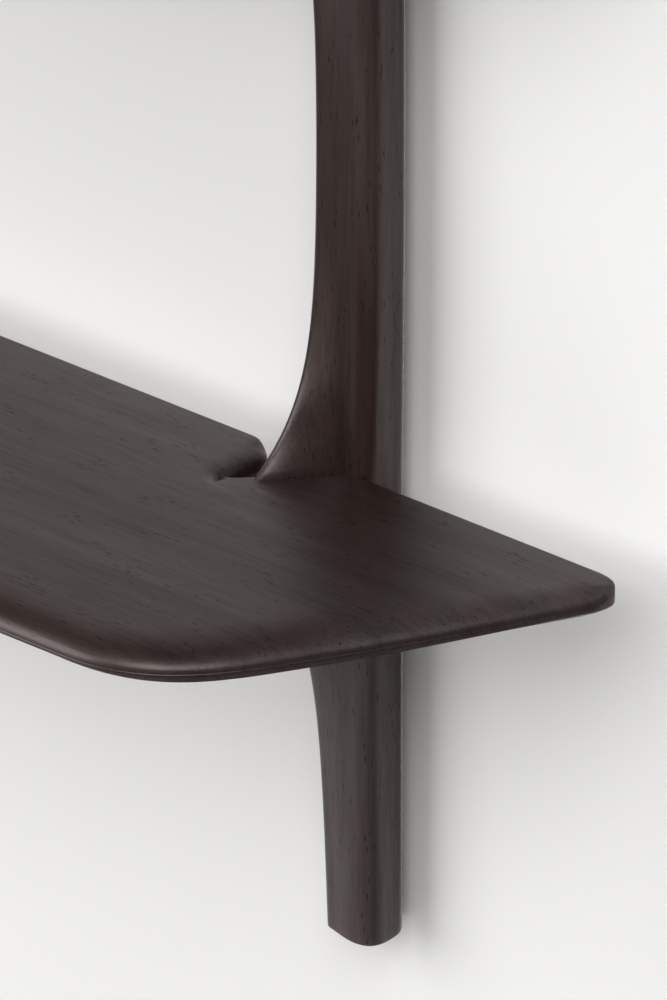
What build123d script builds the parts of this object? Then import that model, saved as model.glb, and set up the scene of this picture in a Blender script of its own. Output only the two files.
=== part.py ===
# Two-board wooden wall shelf on two carved posts. Millimetres, +Z up, wall plane at y = 0,
# the furniture stands in front of it at y < 0, x = 0 is the middle between the posts.
import math
import os

from build123d import *

os.makedirs("parts", exist_ok=True)

# ---- driving dimensions -------------------------------------------------------------------
BOARD_T = 22.0          # thickness of a shelf board
LEVEL_Z = 190.0         # mid thickness of the boards, above and below the middle
BOARD_BACK = 33.0       # straight back edge of a board, distance from the wall
BOARD_DEPTH = 193.4     # straight back edge to front edge
EDGE_ROUND = 8.3        # rounding of the front and end edges, top and underside
BACK_ROUND = 2.0        # easing of the straight back edge
REF_X = 330.0           # x from which the board outline is counted inward (u) and outward (-u)
POST_OUT = 312.4        # outermost side of a post
POST_H = 856.0          # post height
POST_W = 37.3           # post width at the waist
POST_D = 31.5           # post depth
TIP_NARROW = 6.8        # narrowing of the post from a board to its tip
PAD_T = 1.5             # bumper pads keep the posts this far off the wall
BOLT_P = (15.0, 29.0)   # the two connector bolts of one joint, inward from the outer side
BOLT_TIP = (46.5, 61.5)     # distance of the bolt tips from the wall
INSERT_W0 = (36.0, 51.0)    # where the threaded inserts begin
INSERT_L = 12.0
HANG_P = 21.5           # hanger plates and wall screws, inward from the outer side
HANG_Z = 330.0          # height of the wall screws above and below the middle
LIFT = 12.0             # lift that frees the screw heads from the keyholes
PAD_P, PAD_Z, PAD_DIA = 20.5, 398.0, 9.0

SIDES = {"left": -1, "right": 1}
LEVELS = {"lower": -LEVEL_Z, "upper": LEVEL_Z}
HALF_T = BOARD_T / 2


def board_point(u, v):
    """Point of the board outline: u inward from REF_X, v outward from the straight back edge."""
    return (REF_X - u, -BOARD_BACK - v)


def across(p):
    """x of a place on the right-hand post, p inward from its outermost side."""
    return POST_OUT - p


def rod(x, z, dia, w0, w1, mode=Mode.ADD):
    """Round bar along Y between two distances from the wall plane."""
    with Locations((x, -(w0 + w1) / 2, z)):
        Cylinder(dia / 2, abs(w1 - w0), rotation=(90, 0, 0), mode=mode)


def cone_bar(x, z, d0, d1, w0, w1, mode=Mode.ADD):
    """Cone along Y, diameter d0 at wall distance w0 and d1 at w1."""
    with Locations((x, -(w0 + w1) / 2, z)):
        Cone(d0 / 2, d1 / 2, w1 - w0, rotation=(90, 0, 0), mode=mode)


# ---- shelf boards -------------------------------------------------------------------------
def board_outline(z):
    """Face of a board's outline at height z: the right half, then its mirror image."""
    with BuildSketch(Plane.XY.offset(z)) as outline:
        with BuildLine():
            Line(board_point(REF_X, BOARD_DEPTH), board_point(42, BOARD_DEPTH))
            Bezier(board_point(42, BOARD_DEPTH), board_point(-6, BOARD_DEPTH),
                   board_point(-28, 157), board_point(-46, 131))
            Bezier(board_point(-46, 131), board_point(-64, 105), board_point(-97, 60),
                   board_point(-119.5, 22.33))
            Bezier(board_point(-119.5, 22.33), board_point(-126.5, 10.67),
                   board_point(-129.5, 0), board_point(-110, 0))
            Line(board_point(-110, 0), board_point(36.5, 0))
            Line(board_point(36.5, 0), board_point(61, 28))
            Bezier(board_point(61, 28), board_point(66.5, 34.3), board_point(71, 37.5),
                   board_point(74, 37.5))
            Bezier(board_point(74, 37.5), board_point(76, 37.5), board_point(76.2, 36),
                   board_point(75.4, 33.5))
            Line(board_point(75.4, 33.5), board_point(71.5, 15))
            Bezier(board_point(71.5, 15), board_point(70, 6.5), board_point(75, 0),
                   board_point(86, 0))
            Line(board_point(86, 0), board_point(REF_X, 0))
            mirror(about=Plane.YZ)
        make_face()
    return outline.sketch


def is_outer_edge(edge, z):
    """Front and end edges of a board: everything in front of its straight back line."""
    c = edge.center()
    if abs(c.Z - z) > 0.01 or edge.bounding_box().size.Z > 0.01:
        return False
    return c.Y < -BOARD_BACK - 150 or abs(c.X) > REF_X + 55 and c.Y < -BOARD_BACK - 1


def make_board(name, zc):
    with BuildPart() as board:
        extrude(board_outline(zc - HALF_T), amount=BOARD_T)
        fillet([e for e in board.edges() if is_outer_edge(e, zc + HALF_T)], EDGE_ROUND)
        fillet([e for e in board.edges() if is_outer_edge(e, zc - HALF_T)], EDGE_ROUND)
        undrilled = board.part
        for s in SIDES.values():
            for p, w0, tip in zip(BOLT_P, INSERT_W0, BOLT_TIP):
                rod(s * across(p), zc, 6.6, BOARD_BACK - 1, w0, Mode.SUBTRACT)
                rod(s * across(p), zc, 10.0, w0, w0 + INSERT_L, Mode.SUBTRACT)
    board.part.label = name
    export_step(board.part, f"parts/{name}.step")
    return undrilled


boards = {level: make_board(f"shelf_{level}", zc) for level, zc in LEVELS.items()}


# ---- posts --------------------------------------------------------------------------------
def flare(z):
    """Forward swell of the inner front corner beside the boards."""
    q = 0.0
    for zc in LEVELS.values():
        above, below = z - (zc + HALF_T), (zc - HALF_T) - z
        if above >= 0:
            q += 36.5 * math.exp(-above / 30.0)
        elif below >= 0:
            q += 46.0 * math.exp(-((below / 50.5) ** 1.27))
        else:
            q += 36.5 + 9.5 * (-above / BOARD_T) ** 1.5
    return q


def taper(z):
    """0 between the boards, 1 at the tips."""
    return max(0.0, (abs(z) - LEVEL_Z - HALF_T) / (POST_H / 2 - LEVEL_Z - HALF_T))


def bow(z):
    """The outer side swells a little between the boards."""
    t = (z + LEVEL_Z) / (2 * LEVEL_Z)
    return 1.8 * math.sin(math.pi * t) if 0 < t < 1 else 0.0


def post_section(z):
    """Closed section of the right-hand post at height z, as chained Bezier edges."""
    q, t = flare(z), taper(z)
    w = POST_W + 1.7 * min(1.0, t / 0.12) - TIP_NARROW * t
    d = PAD_T + POST_D - 1.5 * t
    b = -bow(z)
    nose_p, nose_w = w - 1.6 + 0.19 * q, d - 5.3 + q     # inner front corner
    rise = q / 35.0

    def at(p, depth):
        return (across(p), -depth)

    with BuildSketch(Plane.XY.offset(z)) as section:
        with BuildLine():
            Line(at(w - 3, PAD_T), at(13, PAD_T))
            Bezier(at(13, PAD_T), at(6, PAD_T), at(b, 8), at(b, 15.5))
            Bezier(at(b, 15.5), at(b, d - 6.5), at(b + 1.5, d - 0.5), at(b + 11, d + 2.6 * rise))
            Bezier(at(b + 11, d + 2.6 * rise), at(b + 17.5, d + 4.8 * rise),
                   at(nose_p - 9, nose_w + 3.2 - 8.2 * rise), at(nose_p - 2.6, nose_w + 1.6 - 1.2 * rise))
            Bezier(at(nose_p - 2.6, nose_w + 1.6 - 1.2 * rise), at(nose_p + 0.4, nose_w + 0.8 + 1.6 * rise),
                   at(nose_p + 1.6, nose_w - 1.5), at(nose_p + 1.6, nose_w - 5))
            Bezier(at(nose_p + 1.6, nose_w - 5), at(nose_p + 1.6, nose_w - 10 - 8 * rise),
                   at(w, 14 + 6 * rise), at(w, PAD_T + 3))
            Bezier(at(w, PAD_T + 3), at(w, PAD_T + 1.2), at(w - 1.2, PAD_T), at(w - 3, PAD_T))
        make_face()
    return section.sketch


steps = (0, 6, 13, 21, 31, 43, 58, 76, 98, 125, 155)
heights = {-POST_H / 2, POST_H / 2, 0.0}
for zc in LEVELS.values():
    heights |= {zc + HALF_T + h for h in steps} | {zc - HALF_T - h for h in steps} | {zc}

with BuildPart() as post_right:
    loft([post_section(z) for z in sorted(heights)], ruled=True)
    for board in boards.values():
        add(board, mode=Mode.SUBTRACT)
    for zc in LEVELS.values():
        for p, tip in zip(BOLT_P, BOLT_TIP):
            rod(across(p), zc, 12.6, 0, 10.5, Mode.SUBTRACT)
            rod(across(p), zc, 6.6, 10.5, tip, Mode.SUBTRACT)
    for zs in (-HANG_Z, HANG_Z):
        with Locations((across(HANG_P), -(PAD_T + 1), zs - 4)):
            Box(15.2, 2.02, 52.2, mode=Mode.SUBTRACT)
        with Locations((across(HANG_P), -7, zs - LIFT / 2)):
            Box(11, 7.0, 25, mode=Mode.SUBTRACT)
        for dz in (-25, 17):
            rod(across(HANG_P), zs + dz, 3.0, 3.4, 13.5, Mode.SUBTRACT)
post_right.part.label = "post_right"
export_step(post_right.part, "parts/post_right.step")

with BuildPart() as post_left:
    mirror(post_right.part, about=Plane.YZ)
post_left.part.label = "post_left"
export_step(post_left.part, "parts/post_left.step")


# ---- bolts, washers and threaded inserts of the four joints --------------------------------
def make_bolt(name, x, z, tip):
    with BuildPart() as bolt:
        rod(x, z, 10.0, 3.3, 9.3)
        rod(x, z, 6.0, 9.3, tip)
        with BuildSketch(Plane((x, -3.3, z), x_dir=(1, 0, 0), z_dir=(0, -1, 0))):
            RegularPolygon(radius=2.5, side_count=6, major_radius=False)
        extrude(amount=3.2, mode=Mode.SUBTRACT)
    bolt.part.label = name
    export_step(bolt.part, f"parts/{name}.step")


def make_ring(name, x, z, outer, inner, w0, w1):
    with BuildPart() as ring:
        rod(x, z, outer, w0, w1)
        rod(x, z, inner, w0, w1, Mode.SUBTRACT)
    ring.part.label = name
    export_step(ring.part, f"parts/{name}.step")


for level, zc in LEVELS.items():
    for side, s in SIDES.items():
        for k, p, w0, tip in zip(("outer", "inner"), BOLT_P, INSERT_W0, BOLT_TIP):
            x = s * across(p)
            make_bolt(f"bolt_{level}_{side}_{k}", x, zc, tip)
            make_ring(f"washer_{level}_{side}_{k}", x, zc, 12.0, 6.4, 9.3, 10.5)
            make_ring(f"insert_{level}_{side}_{k}", x, zc, 10.0, 6.0, w0, w0 + INSERT_L)


# ---- hanger plates, their screws, bumper pads and wall screws -------------------------------
def make_plate(name, x, zs):
    with BuildPart() as plate:
        with BuildSketch(Plane((x, -PAD_T, zs - 4), x_dir=(1, 0, 0), z_dir=(0, -1, 0))):
            RectangleRounded(15, 52, 2)
            with Locations((0, 4 - LIFT)):
                Circle(4.8, mode=Mode.SUBTRACT)
            with Locations((0, 4 + 0.45 - (LIFT + 0.45) / 2)):
                SlotCenterToCenter(LIFT + 0.45, 5.2, rotation=90, mode=Mode.SUBTRACT)
        extrude(amount=2.0)
        for dz in (-25, 17):
            cone_bar(x, zs + dz, 6.0, 3.0, PAD_T, PAD_T + 2, Mode.SUBTRACT)
    plate.part.label = name
    export_step(plate.part, f"parts/{name}.step")


def make_plate_screw(name, x, z):
    with BuildPart() as screw:
        cone_bar(x, z, 6.0, 3.0, PAD_T, PAD_T + 2)
        rod(x, z, 3.0, PAD_T + 2, 13.5)
    screw.part.label = name
    export_step(screw.part, f"parts/{name}.step")


def make_wall_screw(name, x, z):
    with BuildPart() as screw:
        rod(x, z, 8.6, 3.9, 6.7)
        rod(x, z, 4.5, 0, 3.9)
        rod(x, z, 3.6, -38, 0)
        with Locations((x, -6.2, z)):
            Box(5.0, 1.0, 1.0, mode=Mode.SUBTRACT)
            Box(1.0, 1.0, 5.0, mode=Mode.SUBTRACT)
    screw.part.label = name
    export_step(screw.part, f"parts/{name}.step")


for level, v in (("lower", -1), ("upper", 1)):
    for side, s in SIDES.items():
        x, zs = s * across(HANG_P), v * HANG_Z
        make_plate(f"hanger_plate_{level}_{side}", x, zs)
        make_plate_screw(f"plate_screw_{level}_{side}_top", x, zs + 17)
        make_plate_screw(f"plate_screw_{level}_{side}_bottom", x, zs - 25)
        make_wall_screw(f"wall_screw_{level}_{side}", x, zs)
        with BuildPart() as pad:
            rod(s * across(PAD_P), v * PAD_Z, PAD_DIA, 0, PAD_T)
        pad.part.label = f"bumper_pad_{level}_{side}"
        export_step(pad.part, f"parts/bumper_pad_{level}_{side}.step")
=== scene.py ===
"""Two-board wooden wall shelf: the looks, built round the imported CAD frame."""
import bmesh
import bpy
import math

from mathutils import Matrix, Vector, geometry


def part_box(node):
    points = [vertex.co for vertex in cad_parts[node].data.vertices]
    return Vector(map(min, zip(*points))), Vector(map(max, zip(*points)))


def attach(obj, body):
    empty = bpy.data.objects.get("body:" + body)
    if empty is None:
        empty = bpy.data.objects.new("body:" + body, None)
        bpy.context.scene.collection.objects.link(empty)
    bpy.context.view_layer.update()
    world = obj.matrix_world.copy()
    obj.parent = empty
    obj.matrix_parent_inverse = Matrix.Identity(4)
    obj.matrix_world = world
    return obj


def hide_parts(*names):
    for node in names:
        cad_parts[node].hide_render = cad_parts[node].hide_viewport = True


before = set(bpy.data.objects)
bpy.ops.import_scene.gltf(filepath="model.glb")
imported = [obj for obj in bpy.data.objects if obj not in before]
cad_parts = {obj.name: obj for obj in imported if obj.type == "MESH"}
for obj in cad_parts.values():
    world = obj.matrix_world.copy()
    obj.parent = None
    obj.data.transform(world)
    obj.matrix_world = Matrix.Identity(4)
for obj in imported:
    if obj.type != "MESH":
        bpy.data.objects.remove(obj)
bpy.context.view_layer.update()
MM = 0.001
SIDES = {"left": -1, "right": 1}

# ---------------------------------------------------------------- places taken from the frame
board_lo, board_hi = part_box("shelf_lower")
T = (board_hi.z - board_lo.z) / MM                       # board thickness
BACK = -board_hi.y / MM                                  # straight back edge to the wall
DEPTH = (board_hi.y - board_lo.y) / MM
LEVEL = {n: (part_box("shelf_" + n)[0].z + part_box("shelf_" + n)[1].z) / 2 / MM for n in ("lower", "upper")}
post_lo, post_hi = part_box("post_right")
POST_TOP = post_hi.z / MM
PLATE = {}
for lv in ("lower", "upper"):
    lo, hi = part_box("hanger_plate_%s_right" % lv)
    PLATE[lv] = ((lo.x + hi.x) / 2 / MM, (lo.z + hi.z) / 2 / MM)
REF_X = 330.0                                            # board points are counted from this X
POST_OUT = PLATE["lower"][0] + 21.5                      # a post's outer side
POST_W, POST_D = 37.3, 31.5                              # a post's plain section
TAPER_W, TAPER_D = 6.8, 1.5                              # what it loses towards its ends
PAD = 1.5                                                # gap between post and wall
BOLT_AT = (15.0, 29.0)                                   # bolts, from a post's outer side
HALF = T / 2
ZC = LEVEL["upper"]


# ---------------------------------------------------------------- small geometry helpers
def bez(pts, n):
    """n points along a cubic Bezier, the last one left out."""
    out = []
    for i in range(n):
        t = i / n
        a, b, c, d = (1 - t) ** 3, 3 * t * (1 - t) ** 2, 3 * t * t * (1 - t), t ** 3
        out.append(tuple(a * pts[0][k] + b * pts[1][k] + c * pts[2][k] + d * pts[3][k] for k in (0, 1)))
    return out


def seg(a, b, n):
    return [(a[0] + (b[0] - a[0]) * i / n, a[1] + (b[1] - a[1]) * i / n) for i in range(n)]


def smooth(t):
    t = max(0.0, min(1.0, t))
    return t * t * (3 - 2 * t)


def lerp(a, b, t):
    return a + (b - a) * t


def mesh_object(name, verts, faces, sharp=None):
    me = bpy.data.meshes.new(name)
    me.from_pydata([tuple(c * MM for c in v) for v in verts], [], faces)
    me.update(calc_edges=True)
    me.validate(clean_customdata=False)
    me.shade_smooth()
    ob = bpy.data.objects.new(name, me)
    bpy.context.scene.collection.objects.link(ob)
    if sharp is not None:
        me.set_sharp_from_angle(angle=math.radians(sharp))
    return ob


# ---------------------------------------------------------------- materials
def nodes_of(name):
    m = bpy.data.materials.new(name)
    m.use_nodes = True
    nt = m.node_tree
    for n in list(nt.nodes):
        nt.nodes.remove(n)
    out = nt.nodes.new("ShaderNodeOutputMaterial")
    sh = nt.nodes.new("ShaderNodeBsdfPrincipled")
    nt.links.new(sh.outputs["BSDF"], out.inputs["Surface"])
    return m, nt, sh


def noise(nt, vec, scale, detail=4.0, rough=0.55, stretch=(1, 1, 1), dist=0.0):
    mp = nt.nodes.new("ShaderNodeMapping")
    mp.inputs["Scale"].default_value = stretch
    nt.links.new(vec, mp.inputs["Vector"])
    n = nt.nodes.new("ShaderNodeTexNoise")
    n.inputs["Scale"].default_value = scale
    n.inputs["Detail"].default_value = detail
    n.inputs["Roughness"].default_value = rough
    n.inputs["Distortion"].default_value = dist
    nt.links.new(mp.outputs["Vector"], n.inputs["Vector"])
    return n.outputs["Fac"]


def ramp(nt, fac, stops):
    r = nt.nodes.new("ShaderNodeValToRGB")
    while len(r.color_ramp.elements) < len(stops):
        r.color_ramp.elements.new(0.5)
    for e, (p, c) in zip(r.color_ramp.elements, stops):
        e.position = p
        e.color = (c, c, c, 1) if isinstance(c, float) else (*c, 1)
    nt.links.new(fac, r.inputs["Fac"])
    return r.outputs["Color"]


def mix(nt, kind, fac, a, b):
    m = nt.nodes.new("ShaderNodeMix")
    m.data_type = "RGBA"
    m.blend_type = kind
    for k, v in ((0, fac), (6, a), (7, b)):
        if isinstance(v, (int, float)):
            m.inputs[k].default_value = v
        elif isinstance(v, tuple):
            m.inputs[k].default_value = (*v, 1)
        else:
            nt.links.new(v, m.inputs[k])
    return m.outputs[2]


def wood(name, axis, dark, mid, light, rough, streak):
    """Stained, satin-varnished hardwood with its grain along one axis (0 = X, 2 = Z)."""
    m, nt, sh = nodes_of(name)
    tc = nt.nodes.new("ShaderNodeTexCoord").outputs["Object"]

    def along(long_scale):
        s = [1.0, 1.0, 1.0]
        s[axis] = long_scale
        return tuple(s)

    broad = noise(nt, tc, 9.0, 3.0, 0.5, along(0.16), 0.6)
    fine = noise(nt, tc, 70.0, 5.0, 0.6, along(0.06), 0.3)
    hair = noise(nt, tc, 520.0, 3.0, 0.6, along(0.05))
    tone = ramp(nt, broad, [(0.30, dark), (0.52, mid), (0.74, light)])
    tone = mix(nt, "MULTIPLY", streak, tone, ramp(nt, fine, [(0.32, 0.62), (0.55, 1.0), (0.75, 1.28)]))
    tone = mix(nt, "MULTIPLY", 0.5 * streak, tone, ramp(nt, hair, [(0.30, 0.55), (0.55, 1.0)]))
    pores = nt.nodes.new("ShaderNodeTexVoronoi")
    pores.feature = "F1"
    pores.inputs["Scale"].default_value = 620.0
    pm = nt.nodes.new("ShaderNodeMapping")
    pm.inputs["Scale"].default_value = along(0.16)
    nt.links.new(tc, pm.inputs["Vector"])
    nt.links.new(pm.outputs["Vector"], pores.inputs["Vector"])
    patch = noise(nt, tc, 120.0, 2.0, 0.5, along(0.4))
    spots = ramp(nt, pores.outputs["Distance"], [(0.10, 0.0), (0.26, 1.0)])
    shy = ramp(nt, patch, [(0.47, 1.0), (0.60, 0.0)])
    spots = mix(nt, "LIGHTEN", 1.0, spots, shy)
    tone = mix(nt, "MULTIPLY", 0.5, tone, spots)
    nt.links.new(tone, sh.inputs["Base Color"])
    rr = ramp(nt, noise(nt, tc, 34.0, 4.0, 0.6, along(0.3)), [(0.3, rough - 0.035), (0.7, rough + 0.035)])
    nt.links.new(rr, sh.inputs["Roughness"])
    sh.inputs["IOR"].default_value = 1.5
    sheen = mix(nt, "MULTIPLY", 1.0, ramp(nt, fine, [(0.30, 0.54), (0.70, 0.76)]),
                ramp(nt, hair, [(0.30, 0.78), (0.60, 1.0)]))
    sheen = mix(nt, "MULTIPLY", 0.75, sheen, spots)
    nt.links.new(sheen, sh.inputs["Specular IOR Level"])
    sh.inputs["Specular Tint"].default_value = (1.0, 0.90, 0.87, 1)
    bump = nt.nodes.new("ShaderNodeBump")
    bump.inputs["Strength"].default_value = 0.22
    bump.inputs["Distance"].default_value = 0.00025
    height = mix(nt, "MULTIPLY", 1.0, ramp(nt, hair, [(0.3, 0.5), (0.6, 1.0)]), spots)
    grit = noise(nt, tc, 1500.0, 2.0, 0.6)
    height = mix(nt, "MULTIPLY", 0.55, height, ramp(nt, grit, [(0.35, 0.4), (0.65, 1.0)]))
    nt.links.new(height, bump.inputs["Height"])
    nt.links.new(bump.outputs["Normal"], sh.inputs["Normal"])
    return m


def metal(name, light, dark, rough, scale):
    m, nt, sh = nodes_of(name)
    tc = nt.nodes.new("ShaderNodeTexCoord").outputs["Object"]
    cloud = noise(nt, tc, scale, 5.0, 0.65)
    nt.links.new(ramp(nt, cloud, [(0.3, dark), (0.7, light)]), sh.inputs["Base Color"])
    nt.links.new(ramp(nt, noise(nt, tc, scale * 3, 3.0), [(0.3, rough - 0.08), (0.7, rough + 0.08)]),
                 sh.inputs["Roughness"])
    sh.inputs["Metallic"].default_value = 1.0
    bump = nt.nodes.new("ShaderNodeBump")
    bump.inputs["Strength"].default_value = 0.12
    bump.inputs["Distance"].default_value = 0.0001
    nt.links.new(cloud, bump.inputs["Height"])
    nt.links.new(bump.outputs["Normal"], sh.inputs["Normal"])
    return m


def moulded(name, light, dark, rough, scale):
    m, nt, sh = nodes_of(name)
    tc = nt.nodes.new("ShaderNodeTexCoord").outputs["Object"]
    grain = noise(nt, tc, scale, 3.0, 0.6)
    nt.links.new(ramp(nt, grain, [(0.3, dark), (0.7, light)]), sh.inputs["Base Color"])
    sh.inputs["Roughness"].default_value = rough
    bump = nt.nodes.new("ShaderNodeBump")
    bump.inputs["Strength"].default_value = 0.2
    bump.inputs["Distance"].default_value = 0.0001
    nt.links.new(grain, bump.inputs["Height"])
    nt.links.new(bump.outputs["Normal"], sh.inputs["Normal"])
    return m


BOARD_WOOD = wood("board_wood", 0, (0.0090, 0.0042, 0.0033), (0.0130, 0.0064, 0.0052),
                  (0.0185, 0.0096, 0.0080), 0.38, 0.7)
POST_WOOD = wood("post_wood", 2, (0.0105, 0.0043, 0.0033), (0.0165, 0.0071, 0.0055),
                 (0.0250, 0.0112, 0.0088), 0.36, 0.9)
ZINC = metal("zinc_steel", (0.66, 0.67, 0.68), (0.50, 0.51, 0.53), 0.34, 400.0)
PLATED = metal("plate_steel", (0.62, 0.58, 0.46), (0.44, 0.41, 0.33), 0.38, 260.0)
BRASS = metal("insert_brass", (0.78, 0.60, 0.28), (0.60, 0.44, 0.18), 0.32, 300.0)
RUBBER = moulded("pad_rubber", (0.56, 0.56, 0.55), (0.46, 0.46, 0.45), 0.62, 900.0)


# ---------------------------------------------------------------- boards
def bp(u, v):
    return (REF_X - u, -BACK - v)


def board_half():
    """Right half of a board's outline, front centre to back centre, as (point, group)."""
    path = []

    def put(pts, group):
        path.extend((p, group) for p in pts)

    put(seg(bp(REF_X, DEPTH), bp(42, DEPTH), 76), "front")
    put(bez([bp(42, DEPTH), bp(-6, DEPTH), bp(-28, 157), bp(-46, 131)], 52), "front")
    put(bez([bp(-46, 131), bp(-64, 105), bp(-97, 60), bp(-119.5, 22.33)], 56), "front")
    put(bez([bp(-119.5, 22.33), bp(-126.5, 10.67), bp(-129.5, 0), bp(-110, 0)], 22), "tip")
    put(seg(bp(-110, 0), bp(36.5, 0), 60), "back")
    put(seg(bp(36.5, 0), bp(61, 28), 14), "hold")
    put(bez([bp(61, 28), bp(66.5, 34.3), bp(71, 37.5), bp(74, 37.5)], 8), "hold")
    put(bez([bp(74, 37.5), bp(76, 37.5), bp(76.2, 36), bp(75.4, 33.5)], 5), "nose")
    put(seg(bp(75.4, 33.5), bp(71.5, 15), 10), "nose")
    put(bez([bp(71.5, 15), bp(70, 6.5), bp(75, 0), bp(86, 0)], 14), "nose")
    put(seg(bp(86, 0), bp(REF_X, 0), 70), "back")
    return path


def edge_shape(point, group):
    """(top rounding width, its drop, plain band, underside width) of the board's edge at a point."""
    x, y = abs(point[0]), -point[1] - BACK
    u = REF_X - x
    if group in ("front", "tip"):
        side = smooth((50 - u) / 70)
        w, h, b, uw = lerp(20, 26, side), 9.0, lerp(1.9, 4.3, side), 60.0
        end = smooth((-u - 50) / 72)
        w, h, b, uw = lerp(w, 13.0, end), lerp(h, 6.8, end), lerp(b, 2.6, end), lerp(uw, 30.0, end)
        if group == "tip":
            t = smooth(1.0 - y / 22.3)
            w, h = lerp(w, 1.6, t), lerp(h, 1.4, t)
            b = 9.4 - h
        return w, h, b, uw
    if group == "nose":
        t = smooth((u - 74) / 9) if y < 9 else 0.0
        return lerp(11.0, 1.6, t), lerp(6.5, 1.4, t), lerp(1.6, T - 2.8, t), lerp(9.0, 1.6, t)
    if group == "hold":
        return 1.0, 0.6, T - 1.2, 1.0
    return 1.6, 1.4, T - 2.8, 1.6


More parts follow.
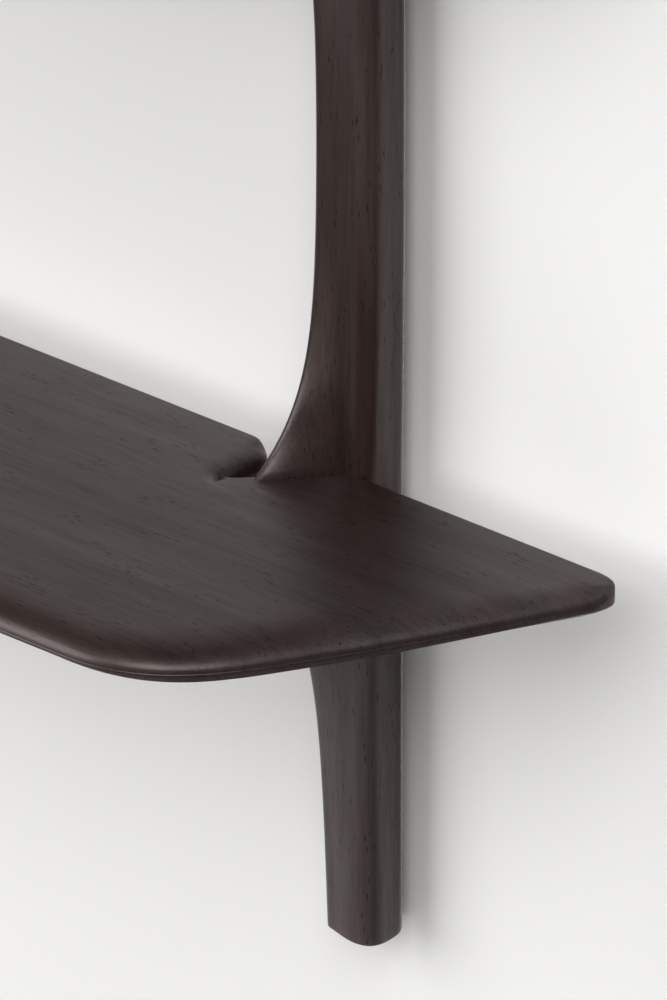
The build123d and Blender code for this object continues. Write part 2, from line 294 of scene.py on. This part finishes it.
def board(name, zc):
    half = board_half()
    other = [((-p[0], p[1]), g) for p, g in reversed(half[1:])]
    loop = half + [((bp(REF_X, 0)), "back")] + other
    pts = [p for p, g in loop]
    shp = [edge_shape(p, g) for p, g in loop]
    grp = [0 if g in ("front", "tip") else 1 for p, g in loop]
    n = len(pts)
    # outward normals of the outline
    area = sum(pts[i][0] * pts[(i + 1) % n][1] - pts[(i + 1) % n][0] * pts[i][1] for i in range(n)) / 2
    sgn = 1 if area > 0 else -1
    nrm = []
    for i in range(n):
        ax, ay = pts[i - 1]
        bx, by = pts[(i + 1) % n]
        dx, dy = bx - ax, by - ay
        le = math.hypot(dx, dy) or 1.0
        nrm.append((sgn * dy / le, -sgn * dx / le))
    groups = [[i for i in range(n) if grp[i] == k] for k in (0, 1)]
    cell = 12.0                     # the search grid for the nearest edge
    tables = []
    for ids in groups:
        tab = {}
        for i in ids:
            tab.setdefault((int(pts[i][0] // cell), int(pts[i][1] // cell)), []).append(i)
        tables.append(tab)

    def near(x, y, k, reach=40.0):
        cx, cy = int(x // cell), int(y // cell)
        best, bi = 1e9, None
        r = int(reach // cell) + 1
        for ring in range(r + 1):
            if best < (ring - 1) * cell:
                break
            for ix in range(cx - ring, cx + ring + 1):
                for iy in range(cy - ring, cy + ring + 1):
                    if max(abs(ix - cx), abs(iy - cy)) != ring:
                        continue
                    for i in tables[k].get((ix, iy), ()):
                        for j in (i, (i - 1) % n):
                            q = (j + 1) % n
                            if grp[j] != k or grp[q] != k:
                                continue
                            ax, ay = pts[j]
                            ex, ey = pts[q][0] - ax, pts[q][1] - ay
                            l2 = ex * ex + ey * ey
                            t = max(0.0, min(1.0, ((x - ax) * ex + (y - ay) * ey) / l2)) if l2 else 0.0
                            d = math.hypot(x - ax - t * ex, y - ay - t * ey)
                            if d < best:
                                best, bi = d, (j, q, t)
        return best, bi

    def drops(x, y, kinds=(0, 1)):
        """Fall of the top face and rise of the underside at a plan point."""
        top = low = 0.0
        for k in kinds:
            d, hit = near(x, y, k)
            if hit is None:
                continue
            j, q, t = hit
            w, h, b, uw = (lerp(shp[j][m], shp[q][m], t) for m in range(4))
            if d < w:
                c = (w - d) / w
                top = max(top, h * (1 - math.sqrt(max(0.0, 1 - c * c))))
            rise = T - h - b
            if d < uw:
                if rise > 5:
                    low = max(low, rise * (1 - d / uw) ** 2)
                else:
                    c = (uw - d) / uw
                    low = max(low, rise * (1 - math.sqrt(max(0.0, 1 - c * c))))
        return top, low

    # plan points: the outline, inset rows that follow it, and a loose grid inside
    flat = list(pts)
    marks = []
    for share in (0.012, 0.04, 0.09, 0.16, 0.25, 0.36, 0.48, 0.62, 0.78, 0.96, 1.12):
        for i in range(n):
            w = shp[i][0]
            if w < 4 and share in (0.012, 0.09, 0.25, 0.48, 0.78):
                continue
            d = w * share
            marks.append((pts[i][0] - nrm[i][0] * d, pts[i][1] - nrm[i][1] * d, d, grp[i]))
    keep = []
    seen = {}

    def free(x, y, gap):
        cx, cy = int(x // 2), int(y // 2)
        for ix in (cx - 1, cx, cx + 1):
            for iy in (cy - 1, cy, cy + 1):
                for px, py in seen.get((ix, iy), ()):
                    if (px - x) ** 2 + (py - y) ** 2 < gap * gap:
                        return False
        return True

    for p in pts:
        seen.setdefault((int(p[0] // 2), int(p[1] // 2)), []).append(p)
    for x, y, d, k in marks:
        dd = min(near(x, y, 0)[0], near(x, y, 1)[0])
        own = near(x, y, k)[0]
        if abs(own - d) > 0.06 * d + 0.02 or dd < min(0.2, 0.5 * d):
            continue
        if not free(x, y, min(1.1, 0.3 * d + 0.04)):
            continue
        seen.setdefault((int(x // 2), int(y // 2)), []).append((x, y))
        keep.append((x, y))
    lo_x, hi_x = min(p[0] for p in pts), max(p[0] for p in pts)
    lo_y, hi_y = min(p[1] for p in pts), max(p[1] for p in pts)
    step = 9.0
    gy = lo_y + step / 2
    row = 0
    while gy < hi_y:
        gx = lo_x + (step / 2 if row % 2 else step)
        while gx < hi_x:
            d0, d1 = near(gx, gy, 0)[0], near(gx, gy, 1)[0]
            if d0 > 30 and d1 > (14 if 60 < REF_X - abs(gx) < 160 else 5):
                keep.append((gx, gy))
            gx += step
        gy += step * 0.87
        row += 1
    flat += keep
    ring_edges = [(i, (i + 1) % n) for i in range(n)]
    res = geometry.delaunay_2d_cdt([Vector(p) for p in flat], ring_edges, [], 1, 1e-5)
    v2, tri, back_ref = res[0], res[2], res[3]
    ring = {}
    for new, olds in enumerate(back_ref):
        for o in olds:
            if o < n:
                ring[o] = new
    verts, faces = [], []
    m = len(v2)
    for k in (0, 1):
        for v in v2:
            top, low = drops(v.x, v.y)
            verts.append((v.x, v.y, zc + HALF - top if k == 0 else zc - HALF + low))
    for i in range(n):
        j = ring[i]
        w, h, b, uw = shp[i]
        top, low = drops(*pts[i], (1 - grp[i],))
        h = max(h, top)
        b = min(b, T - h - low)
        shp[i] = (w, h, b, uw)
        verts[j] = (pts[i][0], pts[i][1], zc + HALF - h)
        verts[m + j] = (pts[i][0] - nrm[i][0] * 0.05, pts[i][1] - nrm[i][1] * 0.05, zc + HALF - h - b)
    for f in tri:
        a, b, c = (v2[i] for i in f[:3])
        up = (b.x - a.x) * (c.y - a.y) - (b.y - a.y) * (c.x - a.x) > 0
        f = list(f) if up else list(reversed(f))
        faces.append(tuple(f))
        faces.append(tuple(m + i for i in reversed(f)))
    # edge strip: a fine groove under the top rounding, then the plain band
    rows = ((0.0, 0.0), (0.28, 0.10), (0.42, 0.30), (0.16, 0.55), (0.0, 0.85))
    base = len(verts)
    strips = []
    for i in range(n):
        w, h, b, uw = shp[i]
        z0 = zc + HALF - h
        groove = 1.0 if grp[i] == 0 or w > 4 else 0.0
        col = []
        for depth, down in rows[1:]:
            d = depth * groove
            col.append(len(verts))
            verts.append((pts[i][0] - nrm[i][0] * d, pts[i][1] - nrm[i][1] * d, z0 - down))
        col.append(len(verts))
        verts.append((pts[i][0], pts[i][1], z0 - 0.5 * (b + 0.85)))
        strips.append([ring[i]] + col + [m + ring[i]])
    for i in range(n):
        a, b = strips[i], strips[(i + 1) % n]
        for k in range(len(a) - 1):
            q = (a[k], a[k + 1], b[k + 1], b[k]) if sgn > 0 else (a[k], b[k], b[k + 1], a[k + 1])
            faces.append(q)
    return mesh_object(name, verts, faces, sharp=38)


# ---------------------------------------------------------------- posts
def flare(z):
    q = 0.0
    for zc in (-ZC, ZC):
        above, below = z - (zc + HALF), (zc - HALF) - z
        if above >= 0:
            q += 36.5 * math.exp(-above / 30.0)
        elif below >= 0:
            q += 46.0 * math.exp(-((below / 50.5) ** 1.27))
        else:
            q += 36.5 + 9.5 * (-above / T) ** 1.5
    return q


def post_section(z, x_sign):
    q = flare(z)
    t = max(0.0, (abs(z) - ZC - HALF) / (POST_TOP - ZC - HALF))
    w = POST_W + 1.7 * smooth(t / 0.12) - TAPER_W * t
    d = PAD + POST_D - TAPER_D * t
    tb = (z + ZC) / (2 * ZC)
    b = -1.8 * math.sin(math.pi * tb) if 0 < tb < 1 else 0.0
    np_, nw = w - 1.6 + 0.19 * q, d - 5.3 + q
    r = q / 35.0
    pts = []
    pts += seg((w - 3, PAD), (13, PAD), 8)
    pts += bez([(13, PAD), (6, PAD), (b, 8), (b, 15.5)], 10)
    pts += bez([(b, 15.5), (b, d - 6.5), (b + 1.5, d - 0.5), (b + 11, d + 2.6 * r)], 14)
    pts += bez([(b + 11, d + 2.6 * r), (b + 17.5, d + 4.8 * r), (np_ - 9, nw + 3.2 - 8.2 * r),
                (np_ - 2.6, nw + 1.6 - 1.2 * r)], 16)
    pts += bez([(np_ - 2.6, nw + 1.6 - 1.2 * r), (np_ + 0.4, nw + 0.8 + 1.6 * r), (np_ + 1.6, nw - 1.5),
                (np_ + 1.6, nw - 5)], 12)
    pts += bez([(np_ + 1.6, nw - 5), (np_ + 1.6, nw - 10 - 8 * r), (w, 14 + 6 * r), (w, PAD + 3)], 12)
    pts += bez([(w, PAD + 3), (w, PAD + 1.2), (w - 1.2, PAD), (w - 3, PAD)], 5)
    return [(x_sign * (POST_OUT - p), -v, z) for p, v in pts]


def box_cutter(x0, x1, y0, y1, z0, z1):
    v = [(x, y, z) for x in (x0, x1) for y in (y0, y1) for z in (z0, z1)]
    f = [(0, 1, 3, 2), (4, 6, 7, 5), (0, 4, 5, 1), (2, 3, 7, 6), (0, 2, 6, 4), (1, 5, 7, 3)]
    return v, f


def rod_cutter(x, z, dia, w0, w1, n=40):
    v = [(x + dia / 2 * math.cos(2 * math.pi * i / n), -w, z + dia / 2 * math.sin(2 * math.pi * i / n))
         for w in (w0, w1) for i in range(n)]
    f = [(i, (i + 1) % n, n + (i + 1) % n, n + i) for i in range(n)]
    f += [tuple(reversed(range(n))), tuple(range(n, 2 * n))]
    return v, f


def cut(ob, shapes):
    """Takes closed shapes out of a mesh."""
    for verts, faces in shapes:
        me = bpy.data.meshes.new("cutter")
        me.from_pydata([tuple(c * MM for c in v) for v in verts], [], faces)
        bm = bmesh.new()
        bm.from_mesh(me)
        bmesh.ops.recalc_face_normals(bm, faces=bm.faces)
        bm.to_mesh(me)
        bm.free()
        tool = bpy.data.objects.new("cutter", me)
        bpy.context.scene.collection.objects.link(tool)
        mod = ob.modifiers.new("cut", "BOOLEAN")
        mod.operation, mod.solver, mod.object = "DIFFERENCE", "EXACT", tool
        dg = bpy.context.evaluated_depsgraph_get()
        new = bpy.data.meshes.new_from_object(ob.evaluated_get(dg))
        ob.modifiers.clear()
        old = ob.data
        ob.data = new
        bpy.data.meshes.remove(old)
        bpy.data.objects.remove(tool)
        bpy.data.meshes.remove(me)


def post(name, s):
    zs = []
    z = -POST_TOP
    levels = sorted({-ZC - HALF, -ZC + HALF, ZC - HALF, ZC + HALF})
    stops = [-POST_TOP] + levels + [POST_TOP]
    for a, b in zip(stops, stops[1:]):
        count = max(2, int(round((b - a) / 4.0)))
        zs += [a + (b - a) * i / count for i in range(count)]
    zs.append(POST_TOP)
    rows = [post_section(z, s) for z in zs]
    cx, cy = POST_OUT - 17.0, -17.0          # about the middle of the section
    ends = []                                # three rounding rows for each end
    for z, sg in ((-POST_TOP, 1), (POST_TOP, -1)):
        full = post_section(z, s)
        mx = s * cx
        inner = []
        n = len(full)
        for i in range(n):
            ax, ay, _ = full[i - 1]
            bx, by, _ = full[(i + 1) % n]
            le = math.hypot(bx - ax, by - ay) or 1.0
            nx, ny = -(by - ay) / le, (bx - ax) / le
            if (mx - full[i][0]) * nx + (cy - full[i][1]) * ny < 0:
                nx, ny = -nx, -ny
            inner.append((nx, ny))
        ends.append([[(p[0] + q[0] * i, p[1] + q[1] * i, z + sg * j) for p, q in zip(full, inner)]
                     for i, j in ((0.35, 0.1), (0.1, 0.35), (0.0, 0.8))])
    rows[0] = ends[0][0]
    rows.insert(1, ends[0][1])
    rows.insert(2, ends[0][2])
    rows[-1] = ends[1][0]
    rows.insert(len(rows) - 1, ends[1][1])
    rows.insert(len(rows) - 2, ends[1][2])
    n = len(rows[0])
    verts = [v for r in rows for v in r]
    lowi, topi = ([((x - s * cx) * 0.97 + s * cx, (y - cy) * 0.97 + cy, z) for x, y, _ in rim[0]]
                  for rim, z in zip(ends, (-POST_TOP, POST_TOP)))
    faces = []
    for k in range(len(rows) - 1):
        for i in range(n):
            j = (i + 1) % n
            q = (k * n + i, k * n + j, (k + 1) * n + j, (k + 1) * n + i)
            faces.append(q if s < 0 else tuple(reversed(q)))
    a = len(verts)
    verts += lowi
    b = len(verts)
    verts += topi
    last = (len(rows) - 1) * n
    for i in range(n):
        j = (i + 1) % n
        q = (a + i, a + j, j, i)
        faces.append(q if s < 0 else tuple(reversed(q)))
        q = (last + i, last + j, b + j, b + i)
        faces.append(q if s < 0 else tuple(reversed(q)))
    faces.append(tuple(range(a, a + n)) if s > 0 else tuple(reversed(range(a, a + n))))
    faces.append(tuple(range(b, b + n)) if s < 0 else tuple(reversed(range(b, b + n))))
    ob = mesh_object(name, verts, faces)
    bm = bmesh.new()
    bm.from_mesh(ob.data)
    bmesh.ops.recalc_face_normals(bm, faces=bm.faces)
    bm.to_mesh(ob.data)
    bm.free()
    shapes = []
    for px, pz in PLATE.values():
        x = s * px
        shapes.append(box_cutter(x - 7.6, x + 7.6, -3.52, 1, pz - 26.1, pz + 26.1))
        shapes.append(box_cutter(x - 5.5, x + 5.5, -10.5, 1, pz + 4 - 6 - 12.5, pz + 4 - 6 + 12.5))
    for zc in (-ZC, ZC):
        for p in BOLT_AT:
            shapes.append(rod_cutter(s * (POST_OUT - p), zc, 12.6, -1, 10.5))
    cut(ob, shapes)
    ob.data.shade_smooth()
    ob.data.set_sharp_from_angle(angle=math.radians(35))
    return ob


for lv in ("lower", "upper"):
    ob = board("board_" + lv, LEVEL[lv])
    ob.data.materials.append(BOARD_WOOD)
    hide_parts("shelf_" + lv)
    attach(ob, "shelf_unit")
for side, s in SIDES.items():
    ob = post("carved_post_" + side, s)
    ob.data.materials.clear()
    ob.data.materials.append(POST_WOOD)
    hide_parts("post_" + side)
    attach(ob, "shelf_unit")

LOOKS = {"bolt": ZINC, "washer": ZINC, "insert": BRASS, "hanger": PLATED, "plate": ZINC,
         "bumper": RUBBER, "wall_screw": ZINC}
for name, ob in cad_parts.items():
    for key, mat in LOOKS.items():
        if name.startswith(key):
            ob.data.materials.clear()
            ob.data.materials.append(mat)


# ---------------------------------------------------------------- stage, light, camera
def plain(name, colour, rough):
    """Matt paint that is only there on its front side, so the open back of the set hides nothing."""
    m, nt, sh = nodes_of(name)
    tc = nt.nodes.new("ShaderNodeTexCoord").outputs["Object"]
    c2 = tuple(c * 0.985 for c in colour)
    nt.links.new(ramp(nt, noise(nt, tc, 3.0, 2.0), [(0.3, c2), (0.7, colour)]), sh.inputs["Base Color"])
    sh.inputs["Roughness"].default_value = rough
    out = next(n for n in nt.nodes if n.type == "OUTPUT_MATERIAL")
    geo = nt.nodes.new("ShaderNodeNewGeometry")
    clear = nt.nodes.new("ShaderNodeBsdfTransparent")
    both = nt.nodes.new("ShaderNodeMixShader")
    nt.links.new(geo.outputs["Backfacing"], both.inputs[0])
    nt.links.new(sh.outputs["BSDF"], both.inputs[1])
    nt.links.new(clear.outputs["BSDF"], both.inputs[2])
    nt.links.new(both.outputs[0], out.inputs["Surface"])
    return m


PAINT = plain("set_paint", (0.80, 0.795, 0.785), 0.9)
FLOOR_Z = -1900
wall = mesh_object("set_wall", [(-4000, 0, FLOOR_Z), (4000, 0, FLOOR_Z), (4000, 0, 3500),
                                (-4000, 0, 3500)], [(0, 1, 2, 3)])
floor = mesh_object("set_floor", [(-2600, -3600, FLOOR_Z), (2600, -3600, FLOOR_Z), (2600, 0, FLOOR_Z),
                                  (-2600, 0, FLOOR_Z)], [(0, 1, 2, 3)])
wall.visible_shadow = False          # so the light behind the set reaches the backs of the posts
for o in (wall, floor):
    o.data.materials.append(PAINT)

world = bpy.data.worlds.new("studio")
bpy.context.scene.world = world
world.use_nodes = True
bg = world.node_tree.nodes["Background"]
bg.inputs["Color"].default_value = (1.0, 0.995, 0.985, 1)
bg.inputs["Strength"].default_value = 0.21
bpy.context.scene.view_settings.view_transform = "Standard"


def area(name, place, aim, size, power):
    la = bpy.data.lights.new(name, "AREA")
    la.shape = "RECTANGLE"
    la.size = la.size_y = size
    la.energy = power
    ob = bpy.data.objects.new(name, la)
    ob.location = place
    ob.rotation_mode = "QUATERNION"
    ob.rotation_quaternion = (Vector(aim) - Vector(place)).to_track_quat("-Z", "Y")
    bpy.context.scene.collection.objects.link(ob)


area("left", (-1.9, -2.7, 1.0), (0.2, 0, -0.1), 3.0, 118.0)
area("right", (1.6, -2.3, 2.7), (0.2, 0, -0.1), 2.4, 97.0)
area("behind", (-0.9, 2.2, -1.5), (0, 0, 0), 1.2, 60.0)

AZ, EL = math.radians(38.0), math.radians(30.5)
SCALE = 2.222                       # pixels per millimetre at the object
LENS = 1000.0
dist = (LENS / 36.0 * 1000.0) / SCALE * MM
back = Vector((math.sin(AZ) * math.cos(EL), -math.cos(AZ) * math.cos(EL), math.sin(EL)))
right = Vector((math.cos(AZ), math.sin(AZ), 0))
up = right.cross(-back)
ref = Vector((REF_X, -BACK, LEVEL["lower"] + HALF)) * MM
aim = ref - right * (69.5 / SCALE * MM) - up * (6.6 / SCALE * MM)
cam = bpy.data.cameras.new("camera")
cam.lens, cam.sensor_width, cam.sensor_fit = LENS, 36.0, "AUTO"
cam.clip_start, cam.clip_end = 0.05, 100.0
cob = bpy.data.objects.new("camera", cam)
cob.location = aim + back * dist
cob.rotation_mode = "QUATERNION"
cob.rotation_quaternion = (-back).to_track_quat("-Z", "Y")
bpy.context.scene.collection.objects.link(cob)
bpy.context.scene.camera = cob
